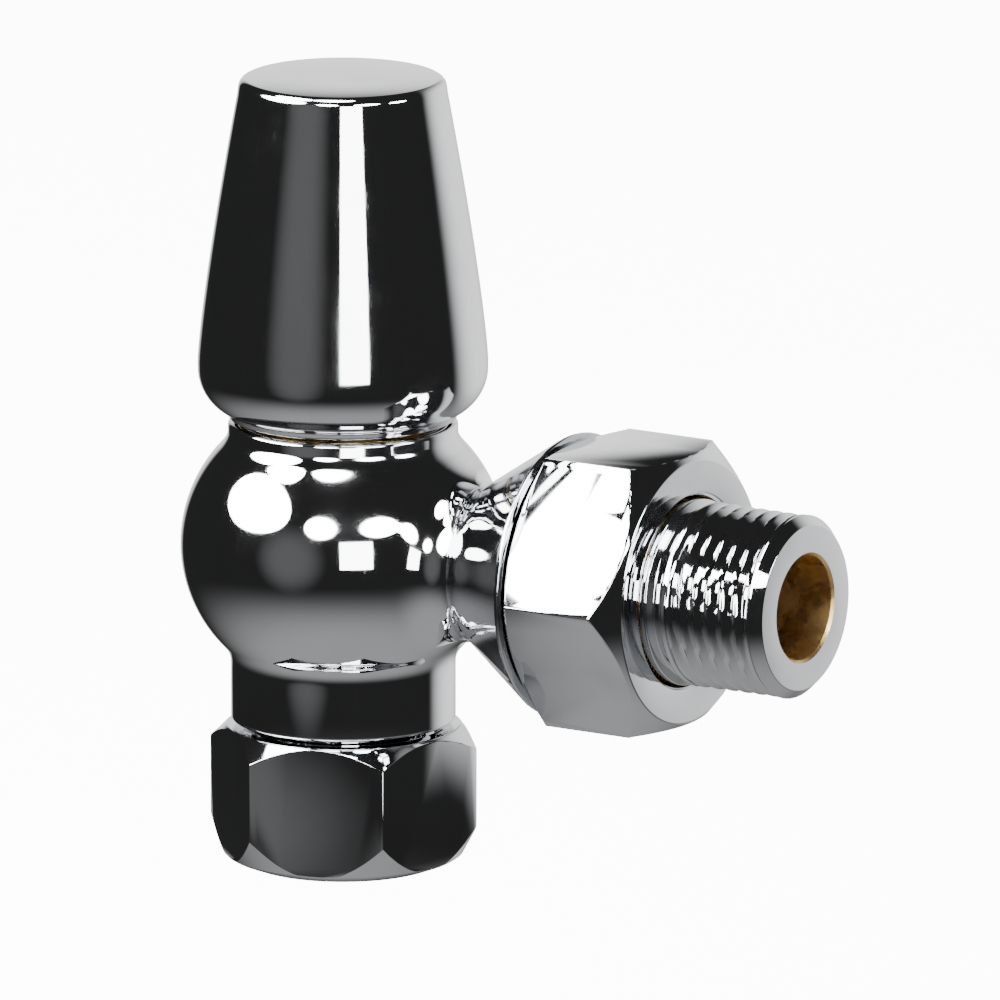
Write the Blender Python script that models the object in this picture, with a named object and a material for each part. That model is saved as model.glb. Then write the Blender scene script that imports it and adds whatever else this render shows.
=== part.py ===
"""Angled lockshield radiator valve for a 15 mm pipe, modelled as the turned and forged pieces it is made of.

Origin: on the pipe's axis, in the plane of the compression nut's lower end face.
+Z runs up the pipe and the spindle; +X runs along the side arm, out of the valve and into the radiator.
A profile is a closed outline of (radius, height) points in millimetres, turned about Z. For a piece that lies
along the arm, height is the distance from the spindle's axis along +X.
"""

from math import cos, pi, radians, sin, tau

import bmesh
import bpy
from mathutils import Matrix, Vector

MM = 0.001

# Driving dimensions, in millimetres.
CENTRE_HEIGHT = 37.0  # where the arm's axis crosses the spindle's
BALL_RADIUS = 18.5
BALL_CURVE = 16.5  # radius of the ball's outline, a little less than a sphere's
NECK_RADIUS = 12.8  # the body above the compression nut
COLLAR_RADIUS = 13.0  # the body under the cap
BODY_TOP = 51.2
NUT_FLATS = 27.0
NUT_HEIGHT = 16.0
UNION_FLATS = 31.0
ARM_RADIUS = 9.2
FLARE_START = 19.0
FLARE_RADIUS = 16.3
UNION_FACE = 30.8  # the flare's flat back, against the union nut
ARM_END = 40.5
RADIATOR_FACE = 47.0
TAIL_END = 61.5
CAP_BOTTOM = 51.8
CAP_SHOULDER = 58.0  # where the cap is widest
CAP_RADIUS = 16.5
CAP_TOP_RADIUS = 12.0
CAP_TOP = 91.0
CAP_WALL = 1.8

PIPE_BORE = 7.65  # takes a 15 mm pipe
PIPE_STOP = 21.0
SEAT_BORE = 5.5
SEAT_TOP = 32.3
WATERWAY = 6.5
INLET_THREAD = 10.45  # G 1/2
ARM_THREAD = 13.2  # G 3/4
TAIL_THREAD = 10.45  # G 1/2
BONNET_THREAD = 10.0
SPINDLE_THREAD = 5.0  # M10
STEM_RADIUS = 4.0
GLAND_BORE = 6.8
SLEEVE_BORE = 9.7
REST_GAP = 0.3  # between two pieces that touch

FINE = 32  # sides of the pieces on show
MEDIUM = 24
SMALL = 16
HEX_TURN = radians(19)


def clear_scene():
    for obj in list(bpy.data.objects):
        bpy.data.objects.remove(obj, do_unlink=True)


def material(name, colour, roughness, metallic):
    made = bpy.data.materials.new(name)
    made.use_nodes = True
    shader = made.node_tree.nodes["Principled BSDF"]
    shader.inputs["Base Color"].default_value = (*colour, 1.0)
    shader.inputs["Roughness"].default_value = roughness
    shader.inputs["Metallic"].default_value = metallic
    return made


def arc(centre, radius, start, end, steps):
    """Points round a centre between two angles in degrees; 0 points away from the axis and 90 points up."""
    angles = [radians(start + (end - start) * i / steps) for i in range(steps + 1)]
    return [(centre[0] + radius * cos(a), centre[1] + radius * sin(a)) for a in angles]


def stand_up(shape, origin):
    bmesh.ops.scale(shape, vec=(MM, MM, MM), verts=shape.verts)
    bmesh.ops.translate(shape, vec=-Vector(origin) * MM, verts=shape.verts)


def lie_along_arm(shape, origin):
    """Takes +Z to +X, at the height of the arm."""
    turn = Matrix.Rotation(pi / 2, 4, "Y")
    bmesh.ops.transform(shape, matrix=Matrix.Translation((0, 0, CENTRE_HEIGHT)) @ turn, verts=shape.verts)
    stand_up(shape, origin)


def finish_piece(name, shape, finish, origin, lying):
    """Writes a shape drawn in millimetres to an object whose own origin is at the given point."""
    bmesh.ops.recalc_face_normals(shape, faces=shape.faces)
    if lying:
        lie_along_arm(shape, origin)
    else:
        stand_up(shape, origin)
    mesh = bpy.data.meshes.new(name)
    shape.to_mesh(mesh)
    shape.free()
    mesh.shade_smooth()
    mesh.set_sharp_from_angle(angle=radians(25))
    obj = bpy.data.objects.new(name, mesh)
    obj.location = Vector(origin) * MM
    bpy.context.scene.collection.objects.link(obj)
    if finish is not None:
        mesh.materials.append(finish)
    return obj


def turned(name, profile, sides, finish=None, origin=(0, 0, 0), lying=False):
    """A solid turned from a closed outline."""
    shape = bmesh.new()
    corners = [shape.verts.new((radius, 0, height)) for radius, height in profile]
    pairs = list(zip(corners, corners[1:] + corners[:1]))
    edges = [shape.edges.new(pair) for pair in pairs if pair[0].co.x > 0 or pair[1].co.x > 0]
    outline = corners + edges
    bmesh.ops.spin(shape, geom=outline, axis=(0, 0, 1), cent=(0, 0, 0), steps=sides, angle=tau, use_merge=True)
    bmesh.ops.remove_doubles(shape, verts=shape.verts, dist=1e-4)
    return finish_piece(name, shape, finish, origin, lying)


def ring(name, major, minor, height, finish, lying=False):
    """An O-ring round the axis, its tube a hexagon."""
    tube = arc((major, height), minor, 0, 300, 5)
    origin = (0, 0, CENTRE_HEIGHT) if lying else (0, 0, 0)
    return turned(name, tube, MEDIUM, finish, origin, lying)


def prism(name, flats, sides, bottom, top, turn=0.0, origin=(0, 0, 0), lying=False):
    """A bar with flat sides, for shaping other pieces."""
    shape = bmesh.new()
    radius = flats / 2 / cos(pi / sides)
    around = [turn + tau * i / sides for i in range(sides)]
    face = shape.faces.new([shape.verts.new((radius * cos(a), radius * sin(a), bottom)) for a in around])
    grown = bmesh.ops.extrude_face_region(shape, geom=[face])["geom"]
    raised = [item for item in grown if isinstance(item, bmesh.types.BMVert)]
    bmesh.ops.translate(shape, vec=(0, 0, top - bottom), verts=raised)
    return finish_piece(name, shape, None, origin, lying)


def block(name, size, centre, turn=0.0):
    """A box, for cutting slots."""
    shape = bmesh.new()
    place = Matrix.Rotation(turn, 4, "Z") @ Matrix.Translation(centre) @ Matrix.Diagonal((*size, 1))
    bmesh.ops.create_cube(shape, size=1.0, matrix=place)
    return finish_piece(name, shape, None, (0, 0, 0), False)


def combine(obj, helper, operation):
    """Adds a Boolean with a helper that isn't itself part of the valve."""
    helper.hide_render = True
    helper.display_type = "WIRE"
    step = obj.modifiers.new(helper.name, "BOOLEAN")
    step.operation = operation
    step.object = helper
    step.solver = "EXACT"


# ---------------------------------------------------------------- body


def valve_body(finish):
    """The forging: threaded inlet, neck, ball and collar on one axis, the flared and threaded arm on the other."""
    ball = (BALL_RADIUS - BALL_CURVE, CENTRE_HEIGHT)
    body = turned(
        "valve_body",
        [
            (0, 7.0),
            (INLET_THREAD - 0.6, 7.0),
            (INLET_THREAD, 7.6),
            (INLET_THREAD, 15.2),
            (INLET_THREAD - 0.8, 16.0),
            (INLET_THREAD - 0.8, 16.6),
            (NECK_RADIUS - 0.5, 16.6),
            (NECK_RADIUS, 17.1),
            (NECK_RADIUS, 24.2),
            *arc(ball, BALL_CURVE, -47, 47, 10),
            (COLLAR_RADIUS, 49.5),
            (COLLAR_RADIUS, BODY_TOP - 0.5),
            (COLLAR_RADIUS - 0.5, BODY_TOP),
            (0, BODY_TOP),
        ],
        FINE,
        finish,
    )
    arm = turned(
        "arm_blank",
        [
            (0, 8),
            (ARM_RADIUS, 8),
            (ARM_RADIUS, FLARE_START),
            (ARM_RADIUS + 0.6, FLARE_START + 1.3),
            (FLARE_RADIUS - 0.2, UNION_FACE - 0.7),
            (FLARE_RADIUS, UNION_FACE - 0.4),
            (FLARE_RADIUS, UNION_FACE),
            (ARM_THREAD - 0.8, UNION_FACE),
            (ARM_THREAD - 0.8, UNION_FACE + 1.2),
            (ARM_THREAD, UNION_FACE + 2.0),
            (ARM_THREAD, ARM_END - 0.6),
            (ARM_THREAD - 0.6, ARM_END),
            (0, ARM_END),
        ],
        FINE,
        lying=True,
    )
    waterway = turned(
        "waterway_cutter",
        [
            (0, 4),
            (10.61, 4),
            (PIPE_BORE, 10.4),
            (PIPE_BORE, PIPE_STOP),
            (SEAT_BORE, PIPE_STOP),
            (SEAT_BORE, SEAT_TOP),
            (SEAT_BORE + 1.4, SEAT_TOP),
            (SEAT_BORE + 1.8, SEAT_TOP - 1),
            (9.5, SEAT_TOP - 1),
            (9.5, 43.8),
            (BONNET_THREAD + REST_GAP, 43.8),
            (BONNET_THREAD + REST_GAP, 49.7),
            (11.6, 49.7),
            (11.6, BODY_TOP + 2),
            (0, BODY_TOP + 2),
        ],
        MEDIUM,
    )
    outlet = turned(
        "outlet_cutter",
        [(0, 7.5), (WATERWAY, 7.5), (WATERWAY, 37.2), (10.2, 37.2), (10.2, ARM_END + 2), (0, ARM_END + 2)],
        MEDIUM,
        lying=True,
    )
    combine(body, arm, "UNION")
    combine(body, waterway, "DIFFERENCE")
    combine(body, outlet, "DIFFERENCE")


# ---------------------------------------------------------------- pipe joint


def compression_nut(finish):
    corner = NUT_FLATS / 2 / cos(pi / 6)
    nut = turned(
        "compression_nut",
        [
            (PIPE_BORE, 0),
            (10.9, 0),
            (corner - 1.7, 1.2),
            (corner + 0.1, 4.6),
            (corner + 0.1, NUT_HEIGHT - 2.4),
            (corner - 2.2, NUT_HEIGHT),
            (11.4, NUT_HEIGHT),
            (10.75, NUT_HEIGHT - 0.7),
            (10.75, 5.0),
            (10.2, 4.6),
            (PIPE_BORE + 0.2, 2.4),
            (PIPE_BORE, 2.4),
        ],
        FINE,
        finish,
    )
    hexagon = prism("compression_nut_hexagon", NUT_FLATS, 6, -1, NUT_HEIGHT + 1, HEX_TURN)
    combine(nut, hexagon, "INTERSECT")


def compression_olive(finish):
    outline = [(PIPE_BORE, 3.3), (8.3, 3.3), (9.0, 4.6), (9.0, 6.7), (7.95, 9.1), (PIPE_BORE, 9.1)]
    turned("compression_olive", outline, MEDIUM, finish)


# ---------------------------------------------------------------- union


def union_nut(finish):
    corner = UNION_FLATS / 2 / cos(pi / 6)
    start = UNION_FACE + REST_GAP
    end = RADIATOR_FACE - 0.6
    nut = turned(
        "union_nut",
        [
            (14.2, start),
            (corner - 2.0, start),
            (corner + 0.1, start + 1.3),
            (corner + 0.1, end - 2.6),
            (corner - 2.2, end),
            (10.9, end),
            (10.9, 43.7),
            (13.5, 43.7),
            (13.5, start + 0.7),
        ],
        FINE,
        finish,
        origin=(0, 0, CENTRE_HEIGHT),
        lying=True,
    )
    hexagon = prism("union_nut_hexagon", UNION_FLATS, 6, start - 1, end + 1, lying=True)
    combine(nut, hexagon, "INTERSECT")


def union_tail(finish):
    """Screws into the radiator from its hexagon socket; its collar is what the union nut pulls against."""
    tail = turned(
        "union_tail",
        [
            (6.0, 37.6),
            (9.4, 37.6),
            (9.9, 38.1),
            (9.9, 38.3),
            (8.4, 38.3),
            (8.4, 40.1),
            (9.9, 40.1),
            (9.9, 40.8),
            (12.9, 40.8),
            (12.9, 43.4),
            (10.6, 43.4),
            (10.6, 46.7),
            (TAIL_THREAD - 0.9, 47.1),
            (TAIL_THREAD - 0.9, 48.0),
            (TAIL_THREAD, 48.9),
            (TAIL_THREAD, TAIL_END - 1),
            (TAIL_THREAD - 1, TAIL_END),
            (6.0, TAIL_END),
        ],
        FINE,
        finish,
        origin=(0, 0, CENTRE_HEIGHT),
        lying=True,
    )
    socket = prism("tail_socket_cutter", 12.2, 6, 36, 47, lying=True)
    combine(tail, socket, "DIFFERENCE")


# ---------------------------------------------------------------- headwork


def bonnet(finish):
    blank = turned(
        "bonnet",
        [
            (8.3, 44.2),
            (BONNET_THREAD - 0.5, 44.2),
            (BONNET_THREAD, 44.7),
            (BONNET_THREAD, 51.5),
            (11.9, 51.5),
            (11.9, 53.2),
            (19 / 2, 53.2),
            (19 / 2, 59.4),
            (9.4, 59.4),
            (9.4, 62.9),
            (8.0, 62.9),
            (8.0, 65.1),
            (9.4, 65.1),
            (9.4, 68.6),
            (9.0, 69.0),
            (GLAND_BORE, 69.0),
            (GLAND_BORE, 57.0),
            (STEM_RADIUS + 0.3, 57.0),
            (STEM_RADIUS + 0.3, 56.0),
            (SPINDLE_THREAD + 0.3, 56.0),
            (SPINDLE_THREAD + 0.3, 48.0),
            (8.3, 48.0),
        ],
        MEDIUM,
        finish,
    )
    corner = 19 / 2 / cos(pi / 6)
    band = turned(
        "bonnet_hexagon",
        [(8.6, 52.8), (corner, 52.8), (corner, 58.4), (corner - 1, 59.2), (8.6, 59.2)],
        MEDIUM,
    )
    flats = prism("bonnet_flats", 19, 6, 52, 60, HEX_TURN)
    combine(band, flats, "INTERSECT")
    combine(blank, band, "UNION")


def gland_nut(finish):
    corner = 14 / 2 / cos(pi / 6)
    nut = turned(
        "gland_nut",
        [
            (STEM_RADIUS + 0.3, 64.1),
            (6.1, 64.1),
            (6.5, 64.5),
            (6.5, 69.3),
            (corner, 69.3),
            (corner, 72.2),
            (corner - 1, 73.0),
            (STEM_RADIUS + 0.3, 73.0),
        ],
        MEDIUM,
        finish,
    )
    hexagon = prism("gland_nut_hexagon", 14, 6, 69.2, 74, HEX_TURN)
    shank = turned("gland_nut_shank", [(0, 63), (7.0, 63), (7.0, 69.4), (0, 69.4)], SMALL)
    combine(hexagon, shank, "UNION")
    combine(nut, hexagon, "INTERSECT")


def gland_rings(brass, fibre):
    """From the bottom: two packing rings, then the washer that the gland nut presses on."""
    for name, bottom, top, finish in (
        ("gland_packing_lower", 59.5, 61.0, fibre),
        ("gland_packing_upper", 61.3, 62.8, fibre),
        ("gland_washer", 63.1, 63.8, brass),
    ):
        inner = STEM_RADIUS + REST_GAP
        outer = GLAND_BORE - REST_GAP
        outline = [(inner, bottom), (outer, bottom), (outer, top), (inner, top)]
        turned(name, outline, MEDIUM, finish)


def spindle(finish):
    """Closed: its button is at the bottom of the plug's cup. The square on top takes the setting key."""
    stem = turned(
        "spindle",
        [
            (0, 38.0),
            (4.9, 38.0),
            (4.9, 40.0),
            (3.3, 40.0),
            (3.3, 41.6),
            (4.5, 42.2),
            (SPINDLE_THREAD, 42.7),
            (SPINDLE_THREAD, 51.5),
            (STEM_RADIUS, 52.0),
            (STEM_RADIUS, 81.0),
            (3.4, 81.6),
            (0, 81.6),
        ],
        SMALL,
        finish,
    )
    square = prism("spindle_square", 6.3, 4, 73.6, 83, radians(45) + HEX_TURN)
    rest = turned("spindle_below_square", [(0, 37), (6, 37), (6, 73.7), (0, 73.7)], SMALL)
    combine(square, rest, "UNION")
    combine(stem, square, "INTERSECT")


def valve_plug(finish):
    """A cup that holds the spindle's button, over a lip that holds the washer, over a threaded stud."""
    turned(
        "valve_plug",
        [
            (0, 30.0),
            (1.3, 30.0),
            (1.7, 30.4),
            (1.7, 35.9),
            (7.5, 35.9),
            (7.5, 34.0),
            (8.3, 34.0),
            (8.3, 37.0),
            (7.4, 37.6),
            (7.4, 43.0),
            (5.3, 43.0),
            (5.3, 41.5),
            (6.2, 41.5),
            (6.2, 40.2),
            (5.3, 40.2),
            (5.3, 37.7),
            (0, 37.7),
        ],
        MEDIUM,
        finish,
    )


def plug_retaining_ring(finish):
    """A split ring in the cup's groove, which keeps the spindle's button in."""
    snap = turned("plug_retaining_ring", [(3.7, 40.45), (5.9, 40.45), (5.9, 41.25), (3.7, 41.25)], MEDIUM, finish)
    gap = block("retaining_ring_gap", (5, 1.6, 3), (5.5, 0, 40.8))
    combine(snap, gap, "DIFFERENCE")


def plug_washer(finish):
    turned("plug_washer", [(2.0, 32.6), (7.1, 32.6), (7.1, 35.6), (2.0, 35.6)], MEDIUM, finish)


def plug_washer_nut(finish):
    nut = turned("plug_washer_nut", [(2.0, 30.5), (3.1, 30.5), (3.2, 30.8), (3.2, 32.3), (2.0, 32.3)], SMALL, finish)
    hexagon = prism("plug_washer_nut_hexagon", 5.5, 6, 30, 33)
    combine(nut, hexagon, "INTERSECT")


# ---------------------------------------------------------------- cap


def cap_outline_radius(height):
    """The cap's outside above its shoulder: a taper that steepens gently towards the top."""
    part = (height - CAP_SHOULDER - 0.5) / (88.9 - CAP_SHOULDER - 0.5)
    return CAP_RADIUS - (CAP_RADIUS - CAP_TOP_RADIUS) * part**1.25


def lockshield_cap(finish):
    outside_heights = [62, 66, 70, 74.5, 79, 84, 89.4]
    inside_heights = [88.0, 81, 71.5]
    turned(
        "lockshield_cap",
        [
            (12.3, CAP_BOTTOM),
            (12.7, CAP_BOTTOM),
            *arc((11.0, CAP_SHOULDER - 0.5), 5.5, -68, 0, 6),
            (CAP_RADIUS, CAP_SHOULDER + 0.5),
            *[(cap_outline_radius(height), height) for height in outside_heights],
            *arc((cap_outline_radius(89.7) - 1.25, 89.75), 1.25, 20, 90, 3),
            (0, CAP_TOP),
            (0, CAP_TOP - CAP_WALL),
            (9.6, CAP_TOP - CAP_WALL),
            *[(cap_outline_radius(height) - CAP_WALL, height) for height in inside_heights],
            (11.9, 70.8),
            (11.9, 67.3),
            (12.8, 67.3),
            (12.8, 64.7),
            (11.9, 64.7),
            (11.9, 62.0),
            (14.3, 60.5),
            (14.3, 57.5),
            (12.3, 54.0),
        ],
        FINE,
        finish,
    )


def cap_sleeve(finish):
    """The insert the cap turns on: its lip stands on the bonnet and its bead snaps into the cap's groove."""
    sleeve = turned(
        "cap_sleeve",
        [
            (SLEEVE_BORE, 60.2),
            (11.2, 60.2),
            (11.6, 61.0),
            (11.6, 65.0),
            (12.4, 65.6),
            (12.4, 66.4),
            (11.6, 67.0),
            (11.6, 70.6),
            (8.5, 70.6),
            (8.5, 69.3),
            (SLEEVE_BORE, 69.3),
        ],
        MEDIUM,
        finish,
    )
    for quarter in range(4):
        slot = block(f"sleeve_slot_{quarter + 1}", (6, 1.4, 8), (11, 0, 63.0), radians(45 + 90 * quarter))
        combine(sleeve, slot, "DIFFERENCE")


def build_valve():
    chrome = material("chrome_plate", (0.80, 0.81, 0.82), 0.06, 1.0)
    brass = material("machined_brass", (0.78, 0.58, 0.28), 0.30, 1.0)
    steel = material("spring_steel", (0.45, 0.45, 0.46), 0.35, 1.0)
    rubber = material("seal_rubber", (0.025, 0.025, 0.027), 0.75, 0.0)
    fibre = material("packing_fluoropolymer", (0.86, 0.85, 0.82), 0.5, 0.0)
    nylon = material("nylon_insert", (0.80, 0.79, 0.74), 0.45, 0.0)
    valve_body(chrome)
    compression_nut(chrome)
    compression_olive(brass)
    union_nut(chrome)
    union_tail(chrome)
    ring("tail_o_ring", 9.3, 0.75, 39.2, rubber, lying=True)
    bonnet(brass)
    ring("bonnet_o_ring", 10.95, 0.6, 50.4, rubber)
    gland_nut(brass)
    gland_rings(brass, fibre)
    ring("spindle_o_ring", 5.4, 1.0, 58.2, rubber)
    spindle(brass)
    valve_plug(brass)
    plug_retaining_ring(steel)
    plug_washer(rubber)
    plug_washer_nut(brass)
    lockshield_cap(chrome)
    cap_sleeve(nylon)
    ring("cap_grip_o_ring", 8.85, 0.8, 64.0, rubber)


clear_scene()
build_valve()
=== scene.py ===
from math import asin, atan2, cos, hypot, pi, radians, sin, tan, tau

import bpy
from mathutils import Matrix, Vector


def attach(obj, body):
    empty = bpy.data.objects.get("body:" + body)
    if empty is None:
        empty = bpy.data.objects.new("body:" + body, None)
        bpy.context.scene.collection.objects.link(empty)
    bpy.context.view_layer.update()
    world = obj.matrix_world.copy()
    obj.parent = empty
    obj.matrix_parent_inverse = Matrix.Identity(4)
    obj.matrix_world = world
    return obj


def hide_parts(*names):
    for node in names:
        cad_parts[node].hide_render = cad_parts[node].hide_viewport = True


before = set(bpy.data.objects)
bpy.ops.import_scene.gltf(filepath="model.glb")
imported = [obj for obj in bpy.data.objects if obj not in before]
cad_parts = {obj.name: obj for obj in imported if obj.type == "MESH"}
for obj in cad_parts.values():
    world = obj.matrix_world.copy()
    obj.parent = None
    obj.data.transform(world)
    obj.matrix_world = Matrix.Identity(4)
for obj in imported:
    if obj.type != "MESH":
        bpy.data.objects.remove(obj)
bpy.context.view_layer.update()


# ---- Valve body ------------------------------------------------------------------------------
# A brass hot forging, machined on two axes, polished and chrome plated. The ball and its necks are
# one skin; the inlet, the flared arm and the bores are turned from it. Outlines are in millimetres,
# as (radius, distance along the axis[, radius of the rounded corner]).

MM = 0.001
ARM_HEIGHT = 37.0
BALL_CURVE = 16.5
BALL_MIDDLE = 2.0
NECK = 12.8
COLLAR = 13.0
ARM_NECK = 9.2
ARM_BLEND = 2.6
NECK_BLEND = 1.0
AXES = {"Z": (0, 1, 2, 0.0), "X": (1, 2, 0, ARM_HEIGHT)}


def soften(outline, steps=4):
    """Rounds every corner that gives a radius."""
    points = []
    for i, corner in enumerate(outline):
        here = Vector(corner[:2])
        if len(corner) == 2:
            points.append(here)
            continue
        back = (Vector(outline[i - 1][:2]) - here).normalized()
        ahead = (Vector(outline[(i + 1) % len(outline)][:2]) - here).normalized()
        half = back.angle(ahead) / 2
        centre = here + (back + ahead).normalized() * corner[2] / sin(half)
        first = here + back * corner[2] / tan(half) - centre
        last = here + ahead * corner[2] / tan(half) - centre
        swing = atan2(first.x * last.y - first.y * last.x, first.dot(last))
        for step in range(steps + 1):
            turn = atan2(first.y, first.x) + swing * step / steps
            points.append(centre + corner[2] * Vector((cos(turn), sin(turn))))
    return points


def extrude_along(outline, axis="Z"):
    """Extrudes the selected ring from one point of the outline to the next, growing or shrinking it."""
    lift = Vector((1, 0, 0)) if axis == "X" else Vector((0, 0, 1))
    centre = Vector((0, 0, AXES[axis][3]))
    for before, after in zip(outline, outline[1:]):
        step = lift * (after[1] - before[1]) * MM
        bpy.ops.mesh.extrude_region_move(TRANSFORM_OT_translate={"value": step})
        grow = after[0] / before[0]
        factors = (1, grow, grow) if axis == "X" else (grow, grow, 1)
        bpy.ops.transform.resize(value=factors, center_override=(centre + lift * after[1]) * MM)


def first_ring(name, start, sides):
    """Adds the ring that a turned piece is extruded from."""
    bpy.ops.object.select_all(action="DESELECT")
    bpy.ops.mesh.primitive_circle_add(vertices=sides, radius=start[0] * MM, enter_editmode=True)
    bpy.context.object.name = name
    bpy.context.object.data.name = name
    bpy.ops.transform.translate(value=(0, 0, start[1] * MM))


def select_where(piece, wanted, kind="vertices"):
    """Selects the vertices, edges or faces whose place passes the test, and goes to edit mode."""
    bpy.ops.object.mode_set(mode="OBJECT")
    for each in (piece.data.vertices, piece.data.edges, piece.data.polygons):
        each.foreach_set("select", [False] * len(each))
    for item in getattr(piece.data, kind):
        place = item.co if kind == "vertices" else item.center
        item.select = wanted(place / MM)
    bpy.ops.object.mode_set(mode="EDIT")


def leave_smooth(angle=32):
    """Leaves edit mode with every face pointing outwards."""
    bpy.ops.mesh.select_all(action="SELECT")
    bpy.ops.mesh.normals_make_consistent(inside=False)
    bpy.ops.object.mode_set(mode="OBJECT")
    bpy.ops.object.shade_smooth_by_angle(angle=radians(angle))


def apply_modifier(piece, kind, **settings):
    bpy.context.view_layer.objects.active = piece
    made = piece.modifiers.new(kind.lower(), kind)
    for name, value in settings.items():
        setattr(made, name, value)
    bpy.ops.object.modifier_apply(modifier=made.name)


def round_off(gap, blend):
    """How much a blend of this width fills in, for a gap between two surfaces."""
    return max(blend - abs(gap), 0) ** 2 / blend / 4


def skin_distance(place):
    """Signed distance from the ball and its three necks, blended where they meet."""
    across = hypot(place.x, place.y)
    up = place.z - ARM_HEIGHT
    ball = hypot(across - BALL_MIDDLE, up) - BALL_CURVE
    neck = across - (NECK if up < 0 else COLLAR)
    skin = min(ball, neck) - round_off(ball - neck, NECK_BLEND)
    if place.x < 0:
        return skin
    arm = hypot(place.y, up) - ARM_NECK
    return min(skin, arm) - round_off(skin - arm, ARM_BLEND)


def onto_skin(place):
    """Moves a point straight onto the blended skin."""
    nudge = 0.001
    for _ in range(8):
        here = skin_distance(place)
        slope = Vector([skin_distance(place + nudge * step) - here for step in STEPS]) / nudge
        place = place - slope * here / slope.length_squared
    return place


STEPS = (Vector((1, 0, 0)), Vector((0, 1, 0)), Vector((0, 0, 1)))
BALL_RINGS = [(12.8, 22), (12.9, 25), (15.8, 28), (17.9, 32.5), (18.5, 37), (17.9, 41.5), (15.8, 46)]
BALL_RINGS += [(13.2, 49), (13, 49.8)]
BALL_SIDES = 20
ARM_START = 18.8
ARM_RINGS = [(11.3, 14.6), (9.9, 16.5), (ARM_NECK, ARM_START)]
DRAWN_APART = 30

# The ball is a coarse cage first. A patch four faces square is drawn out of it towards the arm, made
# round, left open, and subdivided with the rest; then every point is settled onto the blended skin.
first_ring("forged_body", BALL_RINGS[0], BALL_SIDES)
extrude_along(BALL_RINGS)
body = bpy.context.object
select_where(
    body,
    lambda at: at.x > 0 and abs(atan2(at.y, at.x)) < radians(36) and abs(at.z - ARM_HEIGHT) < 9,
    "polygons",
)
for _ in range(2):
    bpy.ops.mesh.extrude_region_move(TRANSFORM_OT_translate={"value": (DRAWN_APART * MM, 0, 0)})
bpy.ops.mesh.delete(type="FACE")
bpy.ops.object.mode_set(mode="OBJECT")
patch_rows = {28.0: -2, 32.5: -1, 37.0: 0, 41.5: 1, 46.0: 2}
row_radius = {height: radius for radius, height in BALL_RINGS}
for vertex in body.data.vertices:
    at = vertex.co / MM
    height = round(at.z, 1)
    if height not in patch_rows or at.x < 0 or abs(at.y) > row_radius[height] * 0.6:
        continue
    row = patch_rows[height]
    column = round(asin(at.y / row_radius[height]) / (tau / BALL_SIDES))
    if max(abs(row), abs(column)) < 2:
        continue
    lean = pi / 4 * min(abs(row), abs(column)) / 2
    around = lean if abs(column) >= abs(row) else pi / 2 - lean
    radius, reach = ARM_RINGS[round((at.x - 12) / DRAWN_APART)]
    aside = radius * cos(around) * (1 if column >= 0 else -1)
    above = radius * sin(around) * (1 if row >= 0 else -1)
    vertex.co = Vector((reach, aside, ARM_HEIGHT + above)) * MM
apply_modifier(body, "SUBSURF", levels=3, render_levels=3, boundary_smooth="ALL")
for vertex in body.data.vertices:
    vertex.co = onto_skin(vertex.co / MM) * MM


def thread_rows(radius, start, end, pitch):
    """Rings close enough together for a thread to be cut in them, from start to end."""
    count = round(abs(end - start) / pitch * 10)
    return [(radius, start + (end - start) * i / count) for i in range(count + 1)]


def cut_thread(piece, radius, low, high, pitch, depth, axis="Z"):
    """Cuts a right-hand thread into a wall of this radius; a negative depth cuts it outwards."""
    first, second, along, centre = AXES[axis]
    for vertex in piece.data.vertices:
        at = vertex.co / MM
        at.z -= centre
        if axis == "Z":
            at.z += centre
        out = hypot(at[first], at[second])
        if abs(out - radius) > 0.02 or not low - 0.01 <= at[along] <= high + 0.01:
            continue
        turn = (at[along] / pitch - atan2(at[second], at[first]) / tau) % 1
        fade = min(1, (at[along] - low) / pitch * 1.6, (high - at[along]) / pitch * 1.6)
        shrink = 1 - depth * max(fade, 0) * abs(2 * turn - 1) / out
        at[first] *= shrink
        at[second] *= shrink
        if axis == "X":
            at.z += centre
        vertex.co = at * MM


def close_ends():
    """Joins the open rings at the two ends of an outline that comes back to its start."""
    bpy.ops.mesh.select_all(action="DESELECT")
    bpy.ops.mesh.select_non_manifold()
    bpy.ops.mesh.bridge_edge_loops()


def cut_with(piece, operation):
    """Combines a piece with the object that was just added, and removes that object."""
    helper = bpy.context.object
    bpy.ops.object.transform_apply(location=True, rotation=True, scale=True)
    apply_modifier(piece, "BOOLEAN", operation=operation, object=helper, solver="EXACT")
    bpy.data.objects.remove(helper, do_unlink=True)


INLET_THREAD = 10.45
ARM_THREAD = 13.2
GAS_PITCH = 1.814
THREAD_DEPTH = 1.0

inlet = [(NECK, 22), (NECK, 16.6, 0.5), (9.5, 16.6, 0.2), (9.5, 15.9), (INLET_THREAD, 15.2)]
inlet += thread_rows(INLET_THREAD, 15.1, 7.6, GAS_PITCH)
inlet += [(9.8, 7.0, 0.15), (9.25, 7.0, 0.15), (7.65, 10.4), (7.65, 21, 0.1), (5.5, 21, 0.3)]
inlet += [(5.5, 32.3, 0.15), (6.9, 32.3, 0.15), (7.3, 31.3), (9.5, 31.3, 0.4), (9.5, 43.8)]
inlet += [(10.3, 43.8), (10.3, 49.7), (11.6, 49.7), (11.6, 50.9)]
select_where(body, lambda at: at.z < 22.01)
extrude_along(soften(inlet))
select_where(body, lambda at: at.z > 49.79 and hypot(at.x, at.y) > 12.9)
extrude_along(soften([(COLLAR, 49.8), (COLLAR, 51.2, 0.45), (11.9, 51.2), (11.7, 51.15)]))
select_where(body, lambda at: at.z > 50.89 and hypot(at.x, at.y) < 11.85)
bpy.ops.mesh.bridge_edge_loops()
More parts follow.
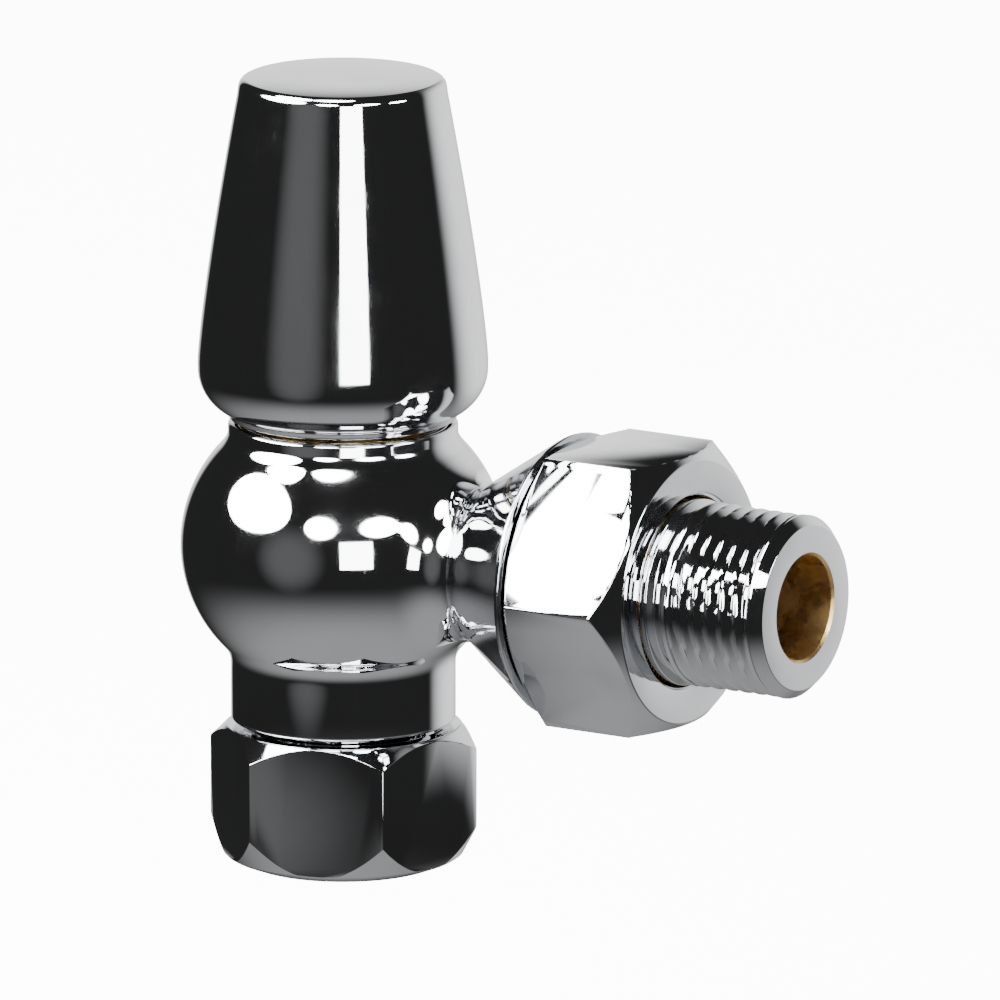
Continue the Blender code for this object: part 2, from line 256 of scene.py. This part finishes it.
arm = [(ARM_NECK, ARM_START), (ARM_NECK, 19.7, 2.8), (16.15, 30.3, 0.25), (16.3, 30.8, 0.15)]
arm += [(12.5, 30.8, 0.2), (12.5, 32.0), (ARM_THREAD, 32.8)]
arm += thread_rows(ARM_THREAD, 32.9, 39.9, GAS_PITCH)
arm += [(12.6, 40.5, 0.2), (10.2, 40.5, 0.2), (10.2, 37.2, 0.2), (6.5, 37.2, 0.2), (6.5, 21)]
select_where(body, lambda at: at.x > ARM_START - 0.01)
extrude_along(soften(arm), "X")
bpy.ops.mesh.edge_face_add()
leave_smooth()
bpy.ops.object.select_all(action="DESELECT")
bpy.ops.mesh.primitive_cylinder_add(
    vertices=96, radius=6.2 * MM, depth=17 * MM, location=(13 * MM, 0, ARM_HEIGHT * MM), rotation=(0, pi / 2, 0)
)
cut_with(body, "DIFFERENCE")
cut_thread(body, INLET_THREAD, 7.6, 15.1, GAS_PITCH, THREAD_DEPTH)
cut_thread(body, ARM_THREAD, 32.9, 39.9, GAS_PITCH, THREAD_DEPTH, "X")
bpy.context.view_layer.objects.active = body
body.select_set(True)
bpy.ops.object.shade_smooth_by_angle(angle=radians(40))


class Signal:
    """A value on its way through a material's nodes. Python's operators add the Math nodes."""

    def __init__(self, tree, socket=None):
        self.tree = tree
        self.socket = socket

    def node(self, kind, settings=None, output=0, **sockets):
        """Adds a node: its settings first, then its sockets by name (or s0, s1 for their order)."""
        made = self.tree.nodes.new(kind)
        for name, value in (settings or {}).items():
            if name == "stops":
                ramp = made.color_ramp.elements
                while len(ramp) < len(value):
                    ramp.new(0.5)
                for element, (position, shade) in zip(ramp, value):
                    element.position = position
                    element.color = (*shade, 1) if isinstance(shade, tuple) else (shade, shade, shade, 1)
            else:
                setattr(made, name, value)
        for name, value in sockets.items():
            key = int(name[1:]) if name[0] == "s" and name[1:].isdigit() else name.replace("_", " ")
            if isinstance(value, Signal):
                self.tree.links.new(value.socket, made.inputs[key])
            else:
                made.inputs[key].default_value = value
        return Signal(self.tree, made.outputs[output])

    def maths(self, operation, *values):
        return self.node("ShaderNodeMath", {"operation": operation}, **{f"s{i}": v for i, v in enumerate(values)})

    def __add__(self, other):
        return self.maths("ADD", self, other)

    def __sub__(self, other):
        return self.maths("SUBTRACT", self, other)

    def __rsub__(self, other):
        return self.maths("SUBTRACT", other, self)

    def __mul__(self, other):
        return self.maths("MULTIPLY", self, other)

    def __truediv__(self, other):
        return self.maths("DIVIDE", self, other)

    __radd__ = __add__
    __rmul__ = __mul__

    def between(self, low, high):
        """Goes smoothly from 0 where the value is at low to 1 where it is at high."""
        settings = {"interpolation_type": "SMOOTHSTEP"}
        return self.node("ShaderNodeMapRange", settings, From_Min=low, From_Max=high, Value=self)

    def part(self, axis):
        return self.node("ShaderNodeSeparateXYZ", output=axis, Vector=self)

    def noise(self, size, detail=2.0, stretch=None):
        """Noise whose features are about this many millimetres across."""
        where = self
        if stretch:
            where = self.node("ShaderNodeMapping", Vector=self, Scale=stretch)
        return self.node("ShaderNodeTexNoise", Vector=where, Scale=1 / (size * MM), Detail=detail)

    def blend(self, first, second):
        """A colour, first where the value is 0 and second where it is 1."""
        settings = {"data_type": "RGBA"}
        return self.node("ShaderNodeMix", settings, 2, s0=self, s6=(*first, 1), s7=(*second, 1))


def new_finish(name, metallic):
    """A material, its shader, and the point being shaded, in metres."""
    made = bpy.data.materials.new(name)
    made.use_nodes = True
    shader = made.node_tree.nodes["Principled BSDF"]
    shader.inputs["Metallic"].default_value = metallic
    point = Signal(made.node_tree).node("ShaderNodeTexCoord", output=3)
    return made, shader, point


def feed(shader, **signals):
    for name, value in signals.items():
        value.tree.links.new(value.socket, shader.inputs[name.replace("_", " ")])


def bump(height, depth):
    """A bump of this many micrometres, where height goes from 0 to 1."""
    return height.node("ShaderNodeBump", Height=height, Distance=depth * 1e-6, Strength=1.0)


def chrome_finish(name):
    """Bright chrome: buffed by hand, so faintly wavy, with the film of handling in broad soft patches."""
    made, shader, point = new_finish(name, 1.0)
    film = point.noise(9, 3).between(0.45, 0.75)
    hairlines = point.noise(0.5, 2, (1, 1, 0.06)).between(0.55, 0.8)
    colour = film.blend((0.70, 0.71, 0.73), (0.64, 0.65, 0.67))
    feed(shader, Base_Color=colour, Roughness=0.035 + film * 0.05 + hairlines * 0.03)
    feed(shader, Normal=bump(point.noise(7, 1), 14))
    return made


def turned_finish(name, bright, dull, axis="Z", groove=0.12, roughness=0.22):
    """Bare metal from the lathe: fine grooves round the axis, over metal that has begun to tarnish."""
    made, shader, point = new_finish(name, 1.0)
    first, second, along, centre = AXES[axis]
    aside = point.part(first)
    above = point.part(second) - centre * MM
    out = (aside * aside + above * above).maths("SQRT", aside * aside + above * above)
    phase = (out + point.part(along)) * (tau / (groove * MM))
    lines = phase.maths("SINE", phase) * 0.5 + 0.5
    tarnish = point.noise(3, 4).between(0.35, 0.7)
    feed(shader, Base_Color=tarnish.blend(bright, dull), Roughness=roughness + tarnish * 0.14 + lines * 0.05)
    feed(shader, Normal=bump(lines * 0.6 + point.noise(0.4, 2) * 0.4, 3))
    return made


CHROME = chrome_finish("polished_chrome")
BRASS = ((0.84, 0.62, 0.30), (0.66, 0.45, 0.19))
BARE_BRASS = turned_finish("machined_brass_upright", *BRASS)


def finish_faces(piece, bare, plated=CHROME, raw=BARE_BRASS):
    """Plates a piece all over except where the test says its metal is bare."""
    piece.data.materials.clear()
    piece.data.materials.append(plated)
    piece.data.materials.append(raw)
    for face in piece.data.polygons:
        face.material_index = int(bare(face.center / MM))


def is_bare_body(at):
    off = hypot(at.x, at.y)
    in_bore = off < (9.3 if at.z < 25 else 10.6) and at.z < 49.4
    in_nut = off < 11.65 and at.z < 13
    in_arm = hypot(at.y, at.z - ARM_HEIGHT) < 6.6 and at.x > 0 or at.x > 30.95
    return in_bore or in_nut or in_arm


finish_faces(body, is_bare_body)
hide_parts("valve_body")
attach(body, "body")


# ---- Compression nut -------------------------------------------------------------------------
# A brass nut cut from 27 mm hexagon bar, plated, with a long chamfer below and a short one above.
# Its bore is bare, threaded for the inlet, and coned at the bottom to squeeze the olive.

NUT_HEIGHT = 16.0
HEX_TURN = 19


def turn(name, outline, sides=144):
    """A hollow turned piece, extruded ring by ring round its outline and closed on itself."""
    points = soften(outline)
    first_ring(name, points[0], sides)
    extrude_along(points)
    close_ends()
    leave_smooth()
    return bpy.context.object


def mill_hexagon(piece, flats, low, high, angle=0.0):
    """Cuts six flats, and breaks the edges that the cut leaves."""
    bpy.ops.object.select_all(action="DESELECT")
    bpy.ops.mesh.primitive_cylinder_add(
        vertices=6,
        radius=flats / 2 / cos(pi / 6) * MM,
        depth=(high - low) * MM,
        location=(0, 0, (low + high) / 2 * MM),
        rotation=(0, 0, angle),
    )
    cut_with(piece, "INTERSECT")
    apply_modifier(
        piece, "BEVEL", width=0.16 * MM, segments=3, limit_method="ANGLE", angle_limit=radians(22), harden_normals=True
    )
    piece.select_set(True)
    bpy.ops.object.shade_smooth_by_angle(angle=radians(32))


nut_outline = [(7.65, 0, 0.25), (11.2, 0, 0.3), (13.1, 0.75), (13.7, 1.15), (15.7, 4.9), (15.7, 13.6), (13.3, NUT_HEIGHT, 0.5)]
nut_outline += [(11.5, NUT_HEIGHT, 0.25), (10.75, 15.2)]
nut_outline += thread_rows(10.75, 15.1, 5.2, GAS_PITCH)
nut_outline += [(10.3, 4.7), (7.85, 2.4), (7.65, 2.4)]
pipe_nut = turn("pipe_nut", nut_outline)
mill_hexagon(pipe_nut, 27, -2, 18, radians(HEX_TURN + 30))
cut_thread(pipe_nut, 10.75, 5.2, 15.1, GAS_PITCH, -0.7)
finish_faces(pipe_nut, lambda at: hypot(at.x, at.y) < 11 and 0.6 < at.z < 13)
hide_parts("compression_nut")
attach(pipe_nut, "pipe_nut")


# ---- Union nut -------------------------------------------------------------------------------
# A wide brass nut with its own inward lip, plated; it turns on the tail, draws the tail's collar
# against the arm, and is threaded G 3/4 inside. Made upright, then laid along the arm.


def lay_along_arm(piece):
    """Turns a piece made about Z so that it lies about the arm's axis, with its place in its mesh."""
    bpy.ops.object.select_all(action="DESELECT")
    piece.select_set(True)
    bpy.context.view_layer.objects.active = piece
    piece.rotation_euler = (0, pi / 2, 0)
    piece.location = (0, 0, ARM_HEIGHT * MM)
    bpy.ops.object.transform_apply(location=True, rotation=True, scale=False)


union_outline = [(14.2, 31.1, 0.2), (15.1, 31.1), (17.99, 32.7), (17.99, 43.6), (15.0, 46.4, 0.4), (11.3, 46.4, 0.25)]
union_outline += [(10.9, 46.0), (10.9, 43.7), (13.5, 43.7)]
union_outline += thread_rows(13.5, 43.0, 32.0, GAS_PITCH)
union = turn("union_nut_turned", union_outline)
mill_hexagon(union, 31, 29, 49)
cut_thread(union, 13.5, 32.0, 43.0, GAS_PITCH, -0.7)
lay_along_arm(union)
BARE_BRASS_LYING = turned_finish("machined_brass_lying", *BRASS, axis="X")
finish_faces(
    union, lambda at: hypot(at.y, at.z - ARM_HEIGHT) < 14.3 and 31.2 < at.x < 45.9, raw=BARE_BRASS_LYING
)
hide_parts("union_nut")
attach(union, "union_nut")


# ---- Union tail ------------------------------------------------------------------------------
# Turned brass tube, plated outside: a nose with a seal, a collar, and a G 1/2 thread for the radiator.
# A hexagon socket inside takes the key that screws it in.

TAIL_THREAD = 10.45

tail_outline = [(6.0, 37.6, 0.2), (9.9, 37.6, 0.35), (9.9, 38.3, 0.08), (8.4, 38.3, 0.1), (8.4, 40.1, 0.1)]
tail_outline += [(9.9, 40.1, 0.08), (9.9, 40.8, 0.1), (12.9, 40.8, 0.2), (12.9, 43.4, 0.3), (10.6, 43.4, 0.3)]
tail_outline += [(10.6, 46.9, 0.2), (9.6, 47.3, 0.2), (9.6, 48.0), (TAIL_THREAD, 48.8)]
tail_outline += thread_rows(TAIL_THREAD, 48.9, 60.4, GAS_PITCH)
tail_outline += [(9.4, 61.5, 0.2), (6.3, 61.5), (6.0, 61.2)]
tail = turn("union_tail_turned", tail_outline)
bpy.ops.object.select_all(action="DESELECT")
bpy.ops.mesh.primitive_cylinder_add(vertices=6, radius=12.2 / 2 / cos(pi / 6) * MM, depth=12 * MM, location=(0, 0, 41 * MM))
cut_with(tail, "DIFFERENCE")
cut_thread(tail, TAIL_THREAD, 48.9, 60.4, GAS_PITCH, THREAD_DEPTH)
lay_along_arm(tail)
bpy.ops.object.shade_smooth_by_angle(angle=radians(40))
finish_faces(tail, lambda at: hypot(at.y, at.z - ARM_HEIGHT) < 7.2, raw=BARE_BRASS_LYING)
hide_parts("union_tail")
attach(tail, "tail")


# ---- Lockshield cap --------------------------------------------------------------------------
# A tapered cover turned from brass bar, polished and plated, hollow underneath, with a flat top.
# Its land and groove inside hold the insert that it turns on.

CAP_TOP = 91.0
CAP_WALL = 1.8


def cap_radius(height):
    return 16.5 - 4.5 * ((height - 58.5) / 30.4) ** 1.25


cap_outline = [(12.35, 51.8, 0.15), (12.95, 51.8, 0.25)]
cap_outline += [(11.0 + 5.5 * cos(radians(a)), 57.5 + 5.5 * sin(radians(a))) for a in range(-66, 1, 6)]
cap_outline += [(16.5, 58.5)] + [(cap_radius(h), h) for h in (59.5, 61, 63, 65, 68, 71, 74, 77, 80, 83, 86, 88, 89.2)]
cap_outline += [(cap_radius(90.2) - 0.05, CAP_TOP, 1.0), (4.0, CAP_TOP), (0.4, CAP_TOP)]
cap_inside = [(0.4, CAP_TOP - CAP_WALL), (9.6, CAP_TOP - CAP_WALL, 0.5)]
cap_inside += [(cap_radius(h) - CAP_WALL, h) for h in (88.0, 84, 80, 76, 71.5)]
cap_inside += [(11.9, 70.8), (11.9, 67.3), (12.8, 67.3), (12.8, 64.7), (11.9, 64.7), (11.9, 62.0)]
cap_inside += [(14.3, 60.5, 0.4), (14.3, 57.5, 0.5), (12.35, 54.0)]


def turn_closed(name, outline, sides):
    """A turned piece whose outline starts and ends on the axis, where a face closes it."""
    points = soften(outline)
    first_ring(name, points[0], sides)
    extrude_along(points)
    bpy.ops.mesh.select_all(action="DESELECT")
    bpy.ops.mesh.select_non_manifold()
    bpy.ops.mesh.fill_holes(sides=0)
    leave_smooth()
    return bpy.context.object


cap = turn_closed("cap_turned", cap_inside + cap_outline, 160)
finish_faces(cap, lambda at: at.z < CAP_TOP - CAP_WALL + 0.1 and hypot(at.x, at.y) < cap_radius(max(at.z, 58.5)) - 1 and not (at.z < 56 and hypot(at.x, at.y) > 12.5))
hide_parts("lockshield_cap")
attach(cap, "cap")


# ---- Cap insert ------------------------------------------------------------------------------
# One nylon moulding, snapped into the cap. Four slots let its lower edge spring over the bonnet, and
# the lip at the top stands on the bonnet's end.


def moulded_finish(name, pale, dark, roughness, grain):
    """Moulded plastic or rubber: flow marks in its colour, and the fine grain that the mould left."""
    made, shader, point = new_finish(name, 0.0)
    flow = point.noise(5, 3, (1, 1, 0.4)).between(0.3, 0.7)
    speckle = point.noise(grain, 3)
    feed(shader, Base_Color=flow.blend(pale, dark), Roughness=roughness + speckle * 0.15)
    feed(shader, Normal=bump(speckle, 12))
    return made


NYLON = moulded_finish("natural_nylon", (0.80, 0.78, 0.71), (0.74, 0.71, 0.63), 0.38, 0.5)

insert_outline = [(9.7, 60.2, 0.25), (11.1, 60.2, 0.2), (11.6, 61.0, 0.2), (11.6, 65.0), (12.4, 65.6, 0.2)]
insert_outline += [(12.4, 66.4, 0.2), (11.6, 67.0), (11.6, 70.6, 0.3), (8.5, 70.6, 0.2), (8.5, 69.3), (9.7, 69.3)]
insert = turn("cap_insert_moulded", insert_outline)
for quarter in range(4):
    angle = pi / 4 + quarter * pi / 2
    bpy.ops.object.select_all(action="DESELECT")
    bpy.ops.mesh.primitive_cube_add(
        size=1, location=(11 * cos(angle) * MM, 11 * sin(angle) * MM, 63 * MM), rotation=(0, 0, angle)
    )
    bpy.ops.transform.resize(value=(6 * MM, 1.4 * MM, 8 * MM), orient_type="LOCAL")
    cut_with(insert, "DIFFERENCE")
insert.select_set(True)
bpy.ops.object.shade_smooth_by_angle(angle=radians(32))
insert.data.materials.clear()
insert.data.materials.append(NYLON)
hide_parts("cap_sleeve")
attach(insert, "cap_insert")


# ---- Bonnet ----------------------------------------------------------------------------------
# The headwork's brass housing: threaded into the body, flanged, with a 19 mm hexagon, a round collar
# grooved for the ring that grips the insert, and the gland's bore down its middle. Only its flange shows
# under the cap, and only that is plated.

bonnet_outline = [(8.3, 44.2), (9.4, 44.2, 0.15), (10.0, 44.9)] + thread_rows(10.0, 45.0, 50.4, 1.5)
bonnet_outline += [(9.3, 50.7), (9.3, 51.5), (11.9, 51.5, 0.2), (11.9, 53.2, 0.3), (9.5, 53.2, 0.2), (9.5, 59.4)]
bonnet_outline += [(9.4, 59.4), (9.4, 62.9, 0.12), (8.0, 62.9, 0.15), (8.0, 65.1, 0.15), (9.4, 65.1, 0.12)]
bonnet_outline += [(9.4, 69.0, 0.4), (7.1, 69.0), (6.8, 68.7)] + thread_rows(6.8, 68.6, 64.6, 1.0)
bonnet_outline += [(6.8, 57.0), (4.3, 57.0), (4.3, 56.0), (5.3, 56.0), (5.3, 48.0), (8.3, 48.0)]
bonnet = turn("bonnet_turned", bonnet_outline, 120)
hexagon_outline = [(8.8, 52.9), (11.1, 52.9), (11.1, 58.1), (9.25, 59.15), (8.8, 59.15)]
hexagon = turn("bonnet_hexagon_turned", hexagon_outline, 120)
mill_hexagon(hexagon, 19, 50, 61, radians(HEX_TURN - 30))
bpy.ops.object.select_all(action="DESELECT")
bpy.context.view_layer.objects.active = hexagon
hexagon.select_set(True)
cut_with(bonnet, "UNION")
cut_thread(bonnet, 10.0, 45.0, 50.4, 1.5, 0.7)
cut_thread(bonnet, 6.8, 64.6, 68.6, 1.0, -0.45)
bonnet.select_set(True)
bpy.ops.object.shade_smooth_by_angle(angle=radians(38))
finish_faces(bonnet, lambda at: hypot(at.x, at.y) < 11 or not 51 < at.z < 53.25)
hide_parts("bonnet")
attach(bonnet, "body")


# ---- Seals -----------------------------------------------------------------------------------
# Moulded rubber rings, each with the fine flash line that its two-part mould leaves inside and out.

RUBBER = moulded_finish("seal_rubber_moulded", (0.024, 0.024, 0.026), (0.035, 0.034, 0.033), 0.52, 0.25)


def seal_ring(name, node, rider, middle, thick, height, lying=False):
    section = []
    for i in range(32):
        angle = tau * i / 32
        flash = 0.03 if i % 16 == 0 else 0
        section.append((middle + (thick + flash) * cos(angle), height + (thick + flash) * sin(angle)))
    made = turn(name, section, 96)
    made.data.materials.clear()
    made.data.materials.append(RUBBER)
    if lying:
        lay_along_arm(made)
    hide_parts(node)
    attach(made, rider)


seal_ring("cap_grip_ring", "cap_grip_o_ring", "body", 8.83, 0.76, 64.0)
seal_ring("bonnet_seal_ring", "bonnet_o_ring", "body", 10.95, 0.54, 50.4)
seal_ring("spindle_seal_ring", "spindle_o_ring", "body", 5.4, 0.95, 58.2)
seal_ring("tail_seal_ring", "tail_o_ring", "tail", 9.28, 0.7, 39.2, lying=True)


# ---- Gland -----------------------------------------------------------------------------------
# Two rings of white packing, a brass washer on them, and the brass nut that squeezes them round the
# spindle. The nut is cut from 14 mm hexagon bar.

gland_outline = [(4.3, 64.1, 0.2), (6.1, 64.1), (6.5, 64.5)] + thread_rows(6.5, 64.6, 68.4, 1.0)
gland_outline += [(6.1, 68.7), (6.1, 69.3), (8.15, 69.3), (8.15, 72.3), (6.75, 73.0), (4.6, 73.0), (4.3, 72.7)]
gland = turn("gland_nut_turned", gland_outline, 96)
bpy.ops.object.select_all(action="DESELECT")
bpy.ops.mesh.primitive_cylinder_add(
    vertices=6, radius=14 / 2 / cos(pi / 6) * MM, depth=11 * MM, location=(0, 0, 68.5 * MM), rotation=(0, 0, radians(HEX_TURN - 30)),
)
cut_with(gland, "INTERSECT")
apply_modifier(
    gland, "BEVEL", width=0.1 * MM, segments=2, limit_method="ANGLE", angle_limit=radians(40), harden_normals=True
)
cut_thread(gland, 6.5, 64.6, 68.4, 1.0, 0.5)
gland.select_set(True)
bpy.ops.object.shade_smooth_by_angle(angle=radians(32))
gland.data.materials.clear()
gland.data.materials.append(BARE_BRASS)
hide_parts("gland_nut")
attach(gland, "body")

PACKING = moulded_finish("packing_white", (0.86, 0.85, 0.82), (0.79, 0.78, 0.74), 0.42, 0.3)
for name, node, low, high, finish, slot in (
    ("packing_ring_lower", "gland_packing_lower", 59.5, 61.0, PACKING, "packing_fluoropolymer"),
    ("packing_ring_upper", "gland_packing_upper", 61.3, 62.8, PACKING, "packing_fluoropolymer"),
    ("gland_washer_turned", "gland_washer", 63.1, 63.8, BARE_BRASS, "machined_brass"),
):
    made = turn(name, [(4.3, low, 0.15), (6.5, low, 0.15), (6.5, high, 0.15), (4.3, high, 0.15)], 96)
    made.data.materials.clear()
    made.data.materials.append(finish)
    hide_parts(node)
    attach(made, "body")


# ---- Spindle ---------------------------------------------------------------------------------
# Turned brass: a button at the bottom that hangs in the plug, an M10 thread, a plain stem, and a
# square milled on the end for the setting key.

spindle_outline = [(0.3, 38.0), (4.9, 38.0, 0.3), (4.9, 40.0, 0.2), (3.3, 40.0, 0.2), (3.3, 41.6, 0.2), (4.5, 42.2)]
spindle_outline += [(5.0, 42.7)] + thread_rows(5.0, 42.8, 51.3, 1.25) + [(4.0, 52.0, 0.3), (4.0, 81.6, 0.5), (0.3, 81.6)]
spindle = turn_closed("spindle_turned", spindle_outline, 96)
for side in range(4):
    angle = radians(HEX_TURN) + side * pi / 2
    bpy.ops.object.select_all(action="DESELECT")
    bpy.ops.mesh.primitive_cube_add(
        size=1, location=(5.15 * cos(angle) * MM, 5.15 * sin(angle) * MM, 78.6 * MM), rotation=(0, 0, angle)
    )
    bpy.ops.transform.resize(value=(4 * MM, 12 * MM, 10 * MM), orient_type="LOCAL")
    cut_with(spindle, "DIFFERENCE")
cut_thread(spindle, 5.0, 42.8, 51.3, 1.25, 0.65)
spindle.select_set(True)
bpy.ops.object.shade_smooth_by_angle(angle=radians(38))
spindle.data.materials.clear()
spindle.data.materials.append(BARE_BRASS)
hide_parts("spindle")
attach(spindle, "spindle")


# ---- Plug ------------------------------------------------------------------------------------
# What closes the valve: a brass cup that holds the spindle's button behind a split spring ring, with
# a rubber washer under its lip, held up by a small nut on the stud.

plug_outline = [(0.3, 30.0), (1.4, 30.0), (1.7, 30.4), (1.7, 35.9), (7.5, 35.9), (7.5, 34.0, 0.2), (8.3, 34.0, 0.3)]
plug_outline += [(8.3, 37.0, 0.3), (7.4, 37.6, 0.3), (7.4, 43.0, 0.3), (5.3, 43.0, 0.2), (5.3, 41.5), (6.2, 41.5)]
plug_outline += [(6.2, 40.2), (5.3, 40.2), (5.3, 37.7, 0.3), (0.3, 37.7)]
plug = turn_closed("plug_turned", plug_outline, 96)
plug.data.materials.clear()
plug.data.materials.append(BARE_BRASS)
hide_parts("valve_plug")
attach(plug, "plug")

washer_outline = [(2.0, 32.6, 0.1), (7.1, 32.6, 0.25), (7.1, 35.6, 0.2), (2.0, 35.6, 0.1)]
washer = turn("plug_washer_moulded", washer_outline, 96)
washer.data.materials.clear()
washer.data.materials.append(RUBBER)
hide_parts("plug_washer")
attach(washer, "plug")

stud_nut = turn("plug_nut_turned", [(2.0, 30.5, 0.1), (2.6, 30.5), (3.3, 30.9), (3.3, 32.3), (2.0, 32.3, 0.1)], 72)
mill_hexagon(stud_nut, 5.5, 29, 34)
stud_nut.data.materials.clear()
stud_nut.data.materials.append(BARE_BRASS)
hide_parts("plug_washer_nut")
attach(stud_nut, "plug")

SPRING_STEEL = turned_finish("spring_steel_turned", (0.47, 0.47, 0.48), (0.38, 0.38, 0.39), groove=0.3, roughness=0.3)
snap_outline = [(3.75, 40.45, 0.1), (5.9, 40.45, 0.1), (5.9, 41.25, 0.1), (3.75, 41.25, 0.1)]
snap_ring = turn("plug_snap_ring", snap_outline, 96)
bpy.ops.object.select_all(action="DESELECT")
bpy.ops.mesh.primitive_cube_add(size=1, location=(5.5 * MM, 0, 40.8 * MM))
bpy.ops.transform.resize(value=(5 * MM, 1.6 * MM, 3 * MM))
cut_with(snap_ring, "DIFFERENCE")
snap_ring.select_set(True)
bpy.ops.object.shade_smooth_by_angle(angle=radians(32))
snap_ring.data.materials.clear()
snap_ring.data.materials.append(SPRING_STEEL)
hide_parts("plug_retaining_ring")
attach(snap_ring, "plug")


# ---- Olive -----------------------------------------------------------------------------------
# A turned brass ring, barrel shaped, not yet squeezed onto a pipe.

olive_outline = [(7.65, 3.3, 0.1), (8.3, 3.3, 0.15), (9.0, 4.6, 0.8), (9.0, 6.7, 0.8), (7.95, 9.1, 0.1), (7.65, 9.1)]
olive = turn("olive_turned", olive_outline, 120)
olive.data.materials.clear()
olive.data.materials.append(BARE_BRASS)
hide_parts("compression_olive")
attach(olive, "olive")


# ---- Floor, lights and camera ----------------------------------------------------------------
# A white floor well below the valve, as the pipe would hold it, lit from within like a light table.
# Softboxes stand round the camera in a dim room that is white behind on the right and grey below.

FLOOR_DEPTH = 0.060
FLOOR_GLOW = 9.0

bpy.ops.object.select_all(action="DESELECT")
bpy.ops.mesh.primitive_plane_add(size=12, location=(0, 0, 0))
floor = bpy.context.object
floor.name = "studio_floor"
bpy.ops.object.mode_set(mode="EDIT")
bpy.ops.transform.translate(value=(0, 0, -FLOOR_DEPTH))
bpy.ops.object.mode_set(mode="OBJECT")
matt, floor_shader, floor_point = new_finish("matt_floor", 0.0)
patches = floor_point.noise(400, 2)
feed(floor_shader, Base_Color=patches.blend((0.86, 0.86, 0.86), (0.84, 0.84, 0.84)))
floor_shader.inputs["Roughness"].default_value = 0.8
floor_shader.inputs["Emission Color"].default_value = (1, 1, 1, 1)
floor_shader.inputs["Emission Strength"].default_value = FLOOR_GLOW
floor.data.materials.append(matt)
floor.visible_glossy = False


def direction(azimuth, elevation):
    """The way from the valve towards a point seen at these angles; azimuth 0 is the front, -Y."""
    azimuth, elevation = radians(azimuth), radians(elevation)
    flat = cos(elevation)
    return Vector((sin(azimuth) * flat, -cos(azimuth) * flat, sin(elevation)))


def soft_light(name, aside, elevation, distance, width, height, glow, shape="ELLIPSE"):
    """A soft light, placed by its angle from the camera; glow is its watts per square metre."""
    made = bpy.data.objects.new(name, bpy.data.lights.new(name, "AREA"))
    bpy.context.scene.collection.objects.link(made)
    made.data.shape = shape
    made.data.size = width
    made.data.size_y = height
    made.data.energy = glow * width * height
    towards = direction(VIEW_AZIMUTH + aside, elevation)
    made.location = VALVE_MIDDLE + towards * distance
    made.rotation_euler = towards.to_track_quat("Z", "Y").to_euler()
    made.visible_camera = False


VALVE_MIDDLE = Vector((0.021, 0, 0.0445))
VIEW_AZIMUTH = 32
VIEW_ELEVATION = 13

soft_light("tall_light", 9, 5, 1.6, 0.66, 0.62, 45, "RECTANGLE")
soft_light("key_light", -77, 31, 1.6, 1.70, 1.05, 60)
soft_light("left_light", -18, 26, 1.6, 0.65, 0.50, 60)
soft_light("right_light", 28, 26, 1.6, 0.80, 0.44, 60)
soft_light("side_light", 66, 22, 1.6, 0.60, 0.34, 60)
soft_light("high_light", -96, 60, 1.6, 1.10, 0.70, 60)
soft_light("top_light", -30, 78, 1.6, 0.75, 0.80, 60)


def towards_angle(aside):
    """How nearly a direction in the room points this far round from the camera."""
    way = direction(VIEW_AZIMUTH + aside, 0)
    return sky.part(0) * way.x + sky.part(1) * way.y


world = bpy.data.worlds.new("studio")
bpy.context.scene.world = world
world.use_nodes = True
backdrop = world.node_tree.nodes["Background"]
sky = Signal(world.node_tree).node("ShaderNodeTexCoord", output=0)
white_side = towards_angle(140).between(0.72, 1.0)
white_end = towards_angle(180).between(0.90, 0.985)
grey_side = towards_angle(-38).between(0.88, 1.0) * 0.13
below = sky.part(2).between(-0.34, -0.95)
room = 0.025 + white_side.maths("MAXIMUM", white_side, white_end) * 1.6 + grey_side
room = room * (1 - below) + below * 0.45
seen = sky.node("ShaderNodeLightPath", output=0)
shown = room * (1 - seen) + seen * 9.0
world.node_tree.links.new(shown.socket, backdrop.inputs["Color"])
backdrop.inputs["Strength"].default_value = 1.0

camera = bpy.data.objects.new("camera", bpy.data.cameras.new("camera"))
bpy.context.scene.collection.objects.link(camera)
VIEW_DISTANCE = 3.0
camera.data.lens = 36 / 2 / tan(radians(1.08))
camera.data.clip_end = 50
backwards = direction(VIEW_AZIMUTH, VIEW_ELEVATION)
camera.location = VALVE_MIDDLE + backwards * VIEW_DISTANCE
camera.rotation_euler = backwards.to_track_quat("Z", "Y").to_euler()
bpy.context.scene.camera = camera
